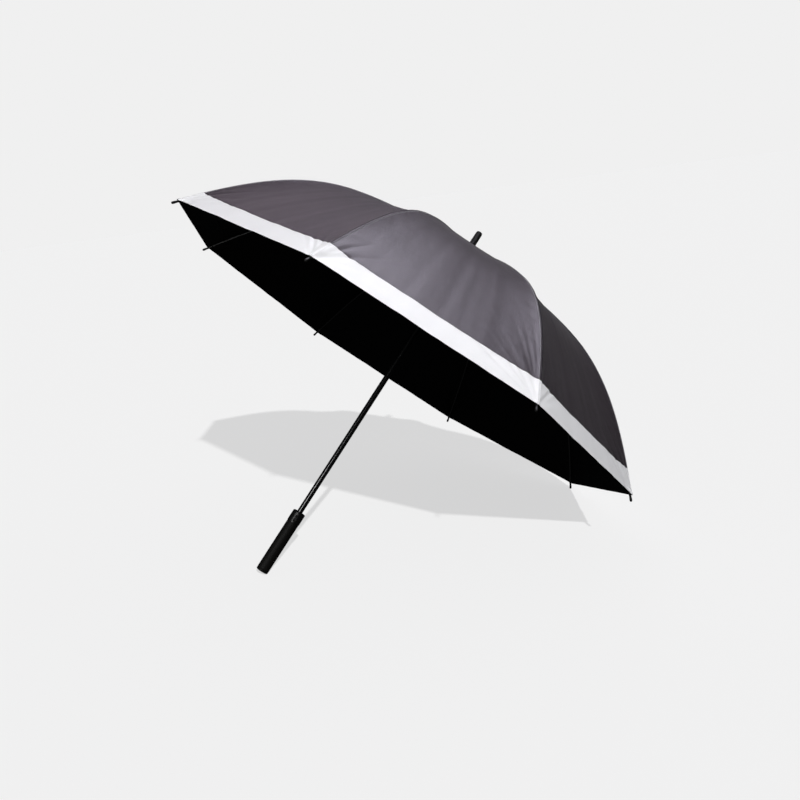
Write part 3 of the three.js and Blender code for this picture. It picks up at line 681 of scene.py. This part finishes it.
def cloth_shader(name, colour, roughness, specular, sheen, variation):
    """Woven cloth: threads, soft crumples and mottling, and a slight sheen."""
    shader = Shader(name, colour, roughness, specular=specular)
    mottle = shader.noise(shader.on_cloth(), size=45 * MM, detail=4)
    shader.tint(mottle, scaled(colour, 1 - variation), scaled(colour, 1 + variation))
    streaks = shader.noise(shader.on_cloth(stretch=4), size=12 * MM, detail=3)
    shader.vary_roughness(streaks, roughness - 0.04, roughness + 0.04)
    shader.set("Sheen Weight", sheen)
    shader.set("Sheen Roughness", 0.4)
    crumples = shader.noise(shader.on_cloth(stretch=1 / 0.45), size=24 * MM, detail=3)
    shader.bump(crumples, 1.3 * MM, 0.6)
    small_crumples = shader.noise(shader.on_cloth(stretch=1 / 0.6), size=7 * MM, detail=3)
    shader.bump(small_crumples, 0.3 * MM, 0.5)
    weave(shader)
    return shader


def moulded_shader(name, colour, roughness, grain, depth, specular, coat):
    """Moulded or painted: a grain of this size and depth, and slightly uneven colour and gloss."""
    shader = Shader(name, colour, roughness, specular=specular)
    fine = shader.noise(shader.on_object(), grain, detail=3)
    coarse = shader.noise(shader.on_object(), grain * 25, detail=3)
    shader.tint(coarse, scaled(colour, 0.8), scaled(colour, 1.25))
    shader.vary_roughness(fine, roughness * 0.85, roughness * 1.15)
    shader.bump(fine, depth, 0.5)
    shader.set("Coat Weight", coat)
    shader.set("Coat Roughness", 0.08)
    return shader


def drawn_shader(name, colour, roughness, metallic, specular):
    """Rolled steel or a drawn rod: a fine rough grain, and patches where it is worn."""
    shader = Shader(name, colour, roughness, metallic, specular)
    fine = shader.noise(shader.on_object(), size=1.2 * MM, detail=4)
    worn = shader.noise(shader.on_object(), size=35 * MM, detail=3)
    shader.tint(worn, scaled(colour, 0.75), scaled(colour, 1.35))
    shader.vary_roughness(fine, roughness * 0.8, roughness * 1.2)
    shader.bump(fine, 0.05 * MM, 0.4)
    return shader


CANOPY_COLOUR = (0.0245, 0.0185, 0.0235)
BAND_COLOUR = (0.82, 0.82, 0.84)
BLACK = (0.006, 0.006, 0.0065)

# the seam is darkened to 0.3 of the canopy's colour as painted shade of its groove
SEAM_SHADE_COLOUR = scaled(CANOPY_COLOUR, 0.3)
SEAM_BAND_COLOUR = scaled(BAND_COLOUR, 0.97)

# name, colour, roughness, specular, sheen and variation of the colour
CANOPY, BAND, SEAM_PAINTED_SHADE, SEAM_PAINTED_HIGHLIGHT, SEAM_WHITE, LINING, STRAP = (
    cloth_shader(*look).material for look in (
        ("canopy_cloth", CANOPY_COLOUR, 0.46, 0.6, 0.1, 0.08),
        ("band_cloth", BAND_COLOUR, 0.6, 0.4, 0.1, 0.015),
        # the seam's darker colour is painted shade, and its lighter edge colour is a painted highlight
        ("seam_painted_shade", SEAM_SHADE_COLOUR, 0.7, 0.1, 0.0, 0.1),
        ("seam_painted_highlight", (0.15, 0.145, 0.155), 0.5, 0.5, 0.2, 0.2),
        ("seam_band_cloth", SEAM_BAND_COLOUR, 0.6, 0.4, 0.1, 0.02),
        ("lining_coat", (0.0016, 0.0016, 0.0018), 0.7, 0.04, 0.0, 0.1),
        ("strap_cloth", (0.012, 0.011, 0.013), 0.6, 0.3, 0.05, 0.1),
    )
)

# name, colour, roughness, metallic and specular
DRAWN_LOOKS = (
    ("rib_steel", BLACK, 0.45, 0.0, 0.4),
    ("rib_rod", BLACK, 0.5, 0.0, 0.4),
    ("spring_steel", (0.42, 0.42, 0.43), 0.35, 1.0, 0.5),
)

# name, colour, roughness, size and depth of the grain, specular and coat
MOULDED_LOOKS = (
    ("tip_plastic", (0.007, 0.007, 0.007), 0.42, 0.8 * MM, 0.03 * MM, 0.3, 0.0),
    ("shaft_paint", (0.004, 0.0042, 0.0046), 0.24, 0.6 * MM, 0.003 * MM, 0.5, 0.3),
    ("moulding", (0.006, 0.006, 0.0055), 0.5, 0.8 * MM, 0.03 * MM, 0.15, 0.0),
    ("grip_rubber", (0.0065, 0.0065, 0.006), 0.6, 0.9 * MM, 0.1 * MM, 0.25, 0.0),
    ("gloss_collar", (0.005, 0.005, 0.0048), 0.4, 1.5 * MM, 0.01 * MM, 0.5, 0.0),
)

# the material of each slot of the record that a CAD node keeps
SLOT_LOOKS = {look[0]: drawn_shader(*look).material for look in DRAWN_LOOKS}
SLOT_LOOKS.update({look[0]: moulded_shader(*look).material for look in MOULDED_LOOKS})


MERGE_DISTANCE = 0.002 * MM
SHARPEST_ROUND = math.radians(38)  # between the facets of a round face


def round_group():
    """Joins the facets of a round face and shades them smooth, but keeps real edges sharp."""
    group = bpy.data.node_groups.new("round_faces", "GeometryNodeTree")
    group.interface.new_socket("Geometry", in_out="INPUT", socket_type="NodeSocketGeometry")
    group.interface.new_socket("Geometry", in_out="OUTPUT", socket_type="NodeSocketGeometry")
    new, link = group.nodes.new, group.links.new
    source = new("NodeGroupInput")
    merged = new("GeometryNodeMergeByDistance")
    merged.inputs["Distance"].default_value = MERGE_DISTANCE
    smooth = new("GeometryNodeSetShadeSmooth")
    angle = new("GeometryNodeInputMeshEdgeAngle")
    sharp = new("FunctionNodeCompare")
    sharp.data_type = "FLOAT"
    sharp.operation = "GREATER_THAN"
    sharp.inputs["B"].default_value = SHARPEST_ROUND
    edges = new("GeometryNodeSetShadeSmooth")
    edges.domain = "EDGE"
    edges.inputs["Shade Smooth"].default_value = False
    sink = new("NodeGroupOutput")
    link(source.outputs[0], merged.inputs["Geometry"])
    link(merged.outputs["Geometry"], smooth.inputs["Geometry"])
    link(smooth.outputs["Geometry"], edges.inputs["Geometry"])
    link(angle.outputs["Unsigned Angle"], sharp.inputs["A"])
    link(sharp.outputs["Result"], edges.inputs["Selection"])
    link(edges.outputs["Geometry"], sink.inputs[0])
    return group


ROUND = round_group()


def dress_nodes():
    """Gives every CAD node that is still shown the look of its record slot, and shades its round faces."""
    for part in frame["record"]["subparts"]:
        look = SLOT_LOOKS.get(part["material_slot"])
        if look is None:
            continue
        obj = nodes[part["node"]]
        obj.data.materials.clear()
        obj.data.materials.append(look)
        obj.modifiers.new("round", "NODES").node_group = ROUND


# ---- the strap ----

STRAP_GORE = 1
STRAP_LENGTH = 120 * MM
STRAP_HALF = 9 * MM
STRAP_THICKNESS = 1.1 * MM
STRAP_HEM_GAP = 6 * MM
STRAP_TOP = -CLOTH - 0.5 * MM  # lift of the strap's face on the lining
STRAP_ROWS = 30
STRAP_COLUMNS = 9


def strap_top(arc):
    return np.full_like(arc, STRAP_TOP)


def make_strap():
    """The tie strap lies against the lining, up from the hem in the middle of the second gore."""
    low_end = HEM_ARC - STRAP_HEM_GAP
    arcs = np.linspace(low_end - STRAP_LENGTH, low_end, STRAP_ROWS)
    from_round = np.clip(1 - (arcs - arcs[0]) / STRAP_HALF, 0, 1)
    half = STRAP_HALF / width_at(arcs) * np.sqrt(np.clip(1 - from_round ** 2, 0.04, 1))
    shares = 0.5 + half[:, None] * np.linspace(-1, 1, STRAP_COLUMNS)
    sheet = Sheet(STRAP_GORE, arcs, shares, strap_top, lambda arc: strap_top(arc) - STRAP_THICKNESS)
    obj = cloth_piece("strap", sheet, [STRAP, STRAP])
    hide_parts("tie_strap")


# ---- finer pieces for what the CAD frame only blocks out ----

def ring_angles(sides):
    return FULL_TURN * np.arange(sides) / sides


def lathe(name, profile, sides, material):
    """A closed turned solid about Z. The profile holds (radius, height) and starts and ends on the axis."""
    vertices = [(0, 0, profile[0][1])]
    for radius, height in profile[1:-1]:
        vertices += [(radius * math.cos(a), radius * math.sin(a), height) for a in ring_angles(sides)]
    vertices.append((0, 0, profile[-1][1]))
    rings = len(profile) - 2
    last = len(vertices) - 1
    faces = []
    for k in range(sides):
        n = (k + 1) % sides
        faces.append((0, 1 + n, 1 + k))
        for ring in range(rings - 1):
            low = 1 + ring * sides
            faces.append((low + k, low + n, low + sides + n, low + sides + k))
        top = 1 + (rings - 1) * sides
        faces.append((top + k, top + n, last))
    return new_object(name, vertices, faces, [material])


# a tip's section in mm, from its mouth round the rod to its nose
TIP_PROFILE = (
    (0, 0.6), (2.3, 0.6), (2.3, -13.7), (2.5, -14), (3.0, -14), (3.2, -13.6),
    (3.2, -1.6), (3.1, -0.8), (2.65, 0.8), (2.5, 2.6), (2.65, 5), (2.95, 9),
    (3.0, 12.4), (2.8, 14.1), (2.2, 15.3), (1.2, 15.9), (0, 16),
)
TIP_SIDES = 20
ROD_END_ARC = HEM_ARC - 2 * MM
RIB_DEPTH = 5 * MM  # from the cloth's outer face to the rib's middle


def make_tip(rib):
    """A rib's moulded tip: a cap over the rod's end, waisted where the cloth's corner is tied on."""
    profile = [(r * MM, h * MM) for r, h in reversed(TIP_PROFILE)]
    obj = lathe(f"tip_{rib + 1}", profile, TIP_SIDES, SLOT_LOOKS["tip_plastic"])
    radius, height = section_at(ROD_END_ARC)
    across, down = section_slope(ROD_END_ARC)
    end = Vector((radius + RIB_DEPTH * down, 0, height - RIB_DEPTH * across))
    tilt = Vector((across, 0, down)).to_track_quat("Z", "Y").to_matrix().to_4x4()
    obj.data.transform(Matrix.Rotation(rib * RIB_STEP, 4, "Z") @ Matrix.Translation(end) @ tilt)
    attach(obj, rib_name("rib_outer", rib))
    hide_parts(rib_name("rib_tip", rib))


GRIP_BORE = 11.3 * MM  # radius
GRIP_EDGE = 1.0 * MM  # of the rounded ends
GRIP_PLAIN = 4 * MM  # at each end, without grooves
GRIP_SIDES = 132
GRIP_ROWS = 130
KNURL_COUNT = 22  # grooves round the grip
KNURL_LEAD = 14 / 3 * MM  # of height in which a groove moves on by one place
KNURL_DEPTH = 0.35 * MM
KNURL_STEEPNESS = 2.2


def knurl(angles, height):
    """Two sets of shallow grooves that cross and leave small diamonds."""
    turn = math.pi * height / KNURL_LEAD
    one_way = np.abs(np.sin(KNURL_COUNT * angles / 2 + turn))
    other_way = np.abs(np.sin(KNURL_COUNT * angles / 2 - turn))
    return KNURL_DEPTH * (np.minimum(one_way * other_way * KNURL_STEEPNESS, 1) - 1)


def grip_outline(radius, low, high):
    """The outer face of the grip from low to high, as (radius, height)."""
    rounding = ((GRIP_EDGE, 0), (0.3 * GRIP_EDGE, 0.3 * GRIP_EDGE), (0, GRIP_EDGE))
    plain = GRIP_PLAIN - GRIP_EDGE
    rows = np.linspace(low + GRIP_PLAIN, high - GRIP_PLAIN, GRIP_ROWS)
    outline = [(radius - inward, low + up) for inward, up in rounding]
    outline.append((radius, low + plain))
    outline += [(radius, float(z)) for z in rows]
    outline.append((radius, high - plain))
    return outline + [(radius - inward, high - up) for inward, up in reversed(rounding)]


def make_grip():
    """The rubber grip, a sleeve with a knurled face and plain rounded ends."""
    low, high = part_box("handle_grip")
    grooved = (low.z + GRIP_PLAIN - GRIP_EDGE / 2, high.z - GRIP_PLAIN + GRIP_EDGE / 2)
    rings = [(GRIP_BORE, low.z), *grip_outline(high.x, low.z, high.z), (GRIP_BORE, high.z)]
    angles = ring_angles(GRIP_SIDES)
    vertices = []
    for radius, z in rings:
        cut = knurl(angles, z) if grooved[0] < z < grooved[1] else np.zeros(GRIP_SIDES)
        vertices += [(r * math.cos(a), r * math.sin(a), z) for r, a in zip(radius + cut, angles)]
    faces = []
    for ring in range(len(rings)):
        here = ring * GRIP_SIDES
        there = (ring + 1) % len(rings) * GRIP_SIDES
        for k in range(GRIP_SIDES):
            n = (k + 1) % GRIP_SIDES
            faces.append((here + k, here + n, there + n, there + k))
    obj = new_object("grip", vertices, faces, [SLOT_LOOKS["grip_rubber"]])
    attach(obj, "frame")
    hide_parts("handle_grip")


for number in range(RIBS):
    make_gore(number)
    make_band(number)
    make_seam(number)
    make_tip(number)
make_strap()
make_grip()
dress_nodes()


# ---- stage, light and camera ----

GROUND_HALF = 40  # half the ground's width
GROUND_GAP = 1 * MM  # under the umbrella
PAPER = 0.871  # the pale colour behind the umbrella
GROUND_COLOUR = (0.3, 0.3, 0.298)
GROUND_GLOW = 0.645  # with the sun's light on the ground's colour, this makes the same pale colour
GLOW_COLOUR = (1, 1, 1.004)
AMBIENT = (0.10, 0.10, 0.102)
DIM_REFLECTION = 0.03


def resting_plane():
    """
    The normal and a point of the plane that the umbrella rests on, with the rim of its handle and the tip of
    its fifth rib, which lies on the -X side.
    """
    handle = min(points_of("handle_end_cap"), key=lambda p: p[0] + 0.01 * p[2])
    tip = min(points_of("rib_tip_5"), key=lambda p: p[0] + p[2])
    along = Vector((tip[0] - handle[0], 0, tip[2] - handle[2])).normalized()
    return Vector((along.z, 0, -along.x)), Vector(handle)


def make_ground():
    normal, point = resting_plane()
    turn = normal.to_track_quat("Z", "Y").to_matrix().to_4x4()
    place = Matrix.Translation(point - normal * GROUND_GAP) @ turn
    corners = [place @ Vector((x * GROUND_HALF, y * GROUND_HALF, 0))
               for x, y in ((-1, -1), (1, -1), (1, 1), (-1, 1))]
    ground = new_object("ground", corners, [(0, 1, 2, 3)], [ground_paper()])
    ground.visible_diffuse = False
    ground.visible_glossy = False
    ground.visible_shadow = False


def ground_paper():
    """Pale paper that mostly glows, so that its shadow is light. It is clear from below."""
    material = bpy.data.materials.new("ground_paper")
    material.use_nodes = True
    tree = material.node_tree
    tree.nodes.remove(tree.nodes["Principled BSDF"])
    new, link = tree.nodes.new, tree.links.new
    paper = new("ShaderNodeBsdfDiffuse")
    paper.inputs["Color"].default_value = (*GROUND_COLOUR, 1)
    glow = new("ShaderNodeEmission")
    glow.inputs["Color"].default_value = (*GLOW_COLOUR, 1)
    glow.inputs["Strength"].default_value = GROUND_GLOW
    both = new("ShaderNodeAddShader")
    clear = new("ShaderNodeBsdfTransparent")
    facing = new("ShaderNodeNewGeometry")
    pick = new("ShaderNodeMixShader")
    link(paper.outputs[0], both.inputs[0])
    link(glow.outputs[0], both.inputs[1])
    link(facing.outputs["Backfacing"], pick.inputs["Fac"])
    link(both.outputs[0], pick.inputs[1])
    link(clear.outputs[0], pick.inputs[2])
    link(pick.outputs[0], tree.nodes["Material Output"].inputs["Surface"])
    return material


def make_world():
    """Pale behind the object, softer on its surfaces, and dim in its reflections."""
    world = bpy.data.worlds.new("studio")
    bpy.context.scene.world = world
    world.use_nodes = True
    tree = world.node_tree
    path = tree.nodes.new("ShaderNodeLightPath")
    glossy, seen = (tree.nodes.new("ShaderNodeMix") for _ in range(2))
    for mix, ray, grey in ((glossy, "Is Glossy Ray", DIM_REFLECTION), (seen, "Is Camera Ray", PAPER)):
        mix.data_type = "RGBA"
        mix.inputs["B"].default_value = (grey, grey, grey, 1)
        tree.links.new(path.outputs[ray], mix.inputs["Factor"])
    glossy.inputs["A"].default_value = (*AMBIENT, 1)
    tree.links.new(glossy.outputs["Result"], seen.inputs["A"])
    tree.links.new(seen.outputs["Result"], tree.nodes["Background"].inputs["Color"])


COOL = (0.89, 0.86, 1.0)
WARM = (1.0, 0.81, 0.98)
NEUTRAL = (1.0, 1.0, 1.0)

# what a panel is aimed at
MIDDLE = (0, 0, 0.8)
HEM = (0.4, 0.35, 0.7)
HANDLE = (0, 0, 0.15)

SUN_FROM = (0.441, 0.841, 0.313)
SUN_STRENGTH = 3.95
SUN_ANGLE = math.radians(1)

# name, direction it comes from, distance, width, watts, colour and aim
SOFT_PANELS = (
    ("key_side", (0.9, 0.42, 0.1), 3.2, 1.2, 36, NEUTRAL, MIDDLE),
    ("key_front", (0.2, 0.75, 0.6), 3.2, 1.2, 62, NEUTRAL, MIDDLE),
    ("fill_top", (0, 0, 1), 3.0, 3.0, 7, NEUTRAL, MIDDLE),
    ("fill_back", (-0.6, -0.8, 0.2), 3.0, 3.0, 40, NEUTRAL, MIDDLE),
    ("fill_low", (0, 0.2, -1), 3.0, 3.0, 7, NEUTRAL, MIDDLE),
)
MIRRORED_PANELS = (
    ("sheen_hem", (0.2, 0, 0.97), 1.3, 0.8, 19, COOL, HEM),
    ("sheen_front", (0.3, 0.3, 0.9), 2.8, 1.6, 25, COOL, MIDDLE),
    ("sheen_top", (-0.05, -0.1, 1), 2.8, 1.6, 5, COOL, MIDDLE),
    ("sheen_left", (0.45, -0.75, 0.5), 2.8, 1.6, 6.2, WARM, MIDDLE),
    ("glint", (0.76, 0.64, -0.07), 2.0, 0.5, 12, NEUTRAL, HANDLE),
)


def receivers(name, state):
    """A list of what a light falls on: with INCLUDE the ground alone, with EXCLUDE all but the ground."""
    listed = bpy.data.collections.new(name)
    listed.objects.link(bpy.data.objects["ground"])
    listed.collection_objects[0].light_linking.link_state = state
    return listed


def place_lamp(name, lamp, source, receiver):
    """A lamp's object, turned so that its light comes from the source's direction."""
    obj = bpy.data.objects.new(name, lamp)
    obj.rotation_mode = "QUATERNION"
    obj.rotation_quaternion = source.to_track_quat("Z", "Y")
    obj.light_linking.receiver_collection = receiver
    bpy.context.scene.collection.objects.link(obj)
    return obj


def make_sun():
    """The sun only casts the umbrella's shadow on the ground."""
    lamp = bpy.data.lights.new("sun", "SUN")
    lamp.energy = SUN_STRENGTH
    lamp.angle = SUN_ANGLE
    place_lamp("sun", lamp, Vector(SUN_FROM), receivers("only_ground", "INCLUDE"))


def make_panel(receiver, name, source, distance, width, power, colour, aim):
    """A square soft light."""
    lamp = bpy.data.lights.new(name, "AREA")
    lamp.shape = "SQUARE"
    lamp.size = width
    lamp.energy = power
    lamp.color = colour
    source = Vector(source).normalized()
    obj = place_lamp(name, lamp, source, receiver)
    obj.location = Vector(aim) + source * distance
    obj.visible_camera = False
    return obj


def make_lights():
    """
    The panels light the umbrella and leave the ground even. The soft ones light it without being mirrored in
    it, and the mirrored ones make only its sheen and highlights.
    """
    make_sun()
    umbrella = receivers("all_but_ground", "EXCLUDE")
    for panel in SOFT_PANELS:
        make_panel(umbrella, *panel).visible_glossy = False
    for panel in MIRRORED_PANELS:
        make_panel(umbrella, *panel).visible_diffuse = False


CAMERA_PLACE = (0.8952, 2.0363, 0.3598)
CAMERA_FORWARD = (-0.42106, -0.90315, 0.08386)
CAMERA_UP = (0.51945, -0.16431, 0.83856)
SENSOR_WIDTH = 36  # mm
FOCAL_LENGTH = 40.5  # mm
LENS_SHIFT = -0.00875  # in widths of the picture


def make_camera():
    """The camera looks slightly up at the umbrella, and is rolled so that the shaft leans in the picture."""
    lens = bpy.data.cameras.new("camera")
    lens.sensor_width = SENSOR_WIDTH
    lens.lens = FOCAL_LENGTH
    lens.shift_y = LENS_SHIFT
    camera = bpy.data.objects.new("camera", lens)
    forward = Vector(CAMERA_FORWARD)
    right = forward.cross(Vector(CAMERA_UP)).normalized()
    up = right.cross(forward).normalized()
    camera.rotation_mode = "QUATERNION"
    camera.rotation_quaternion = Matrix((right, up, -forward)).transposed().to_quaternion()
    camera.location = CAMERA_PLACE
    bpy.context.scene.collection.objects.link(camera)
    bpy.context.scene.camera = camera


make_ground()
make_world()
make_lights()
make_camera()
bpy.context.scene.view_settings.view_transform = "Standard"
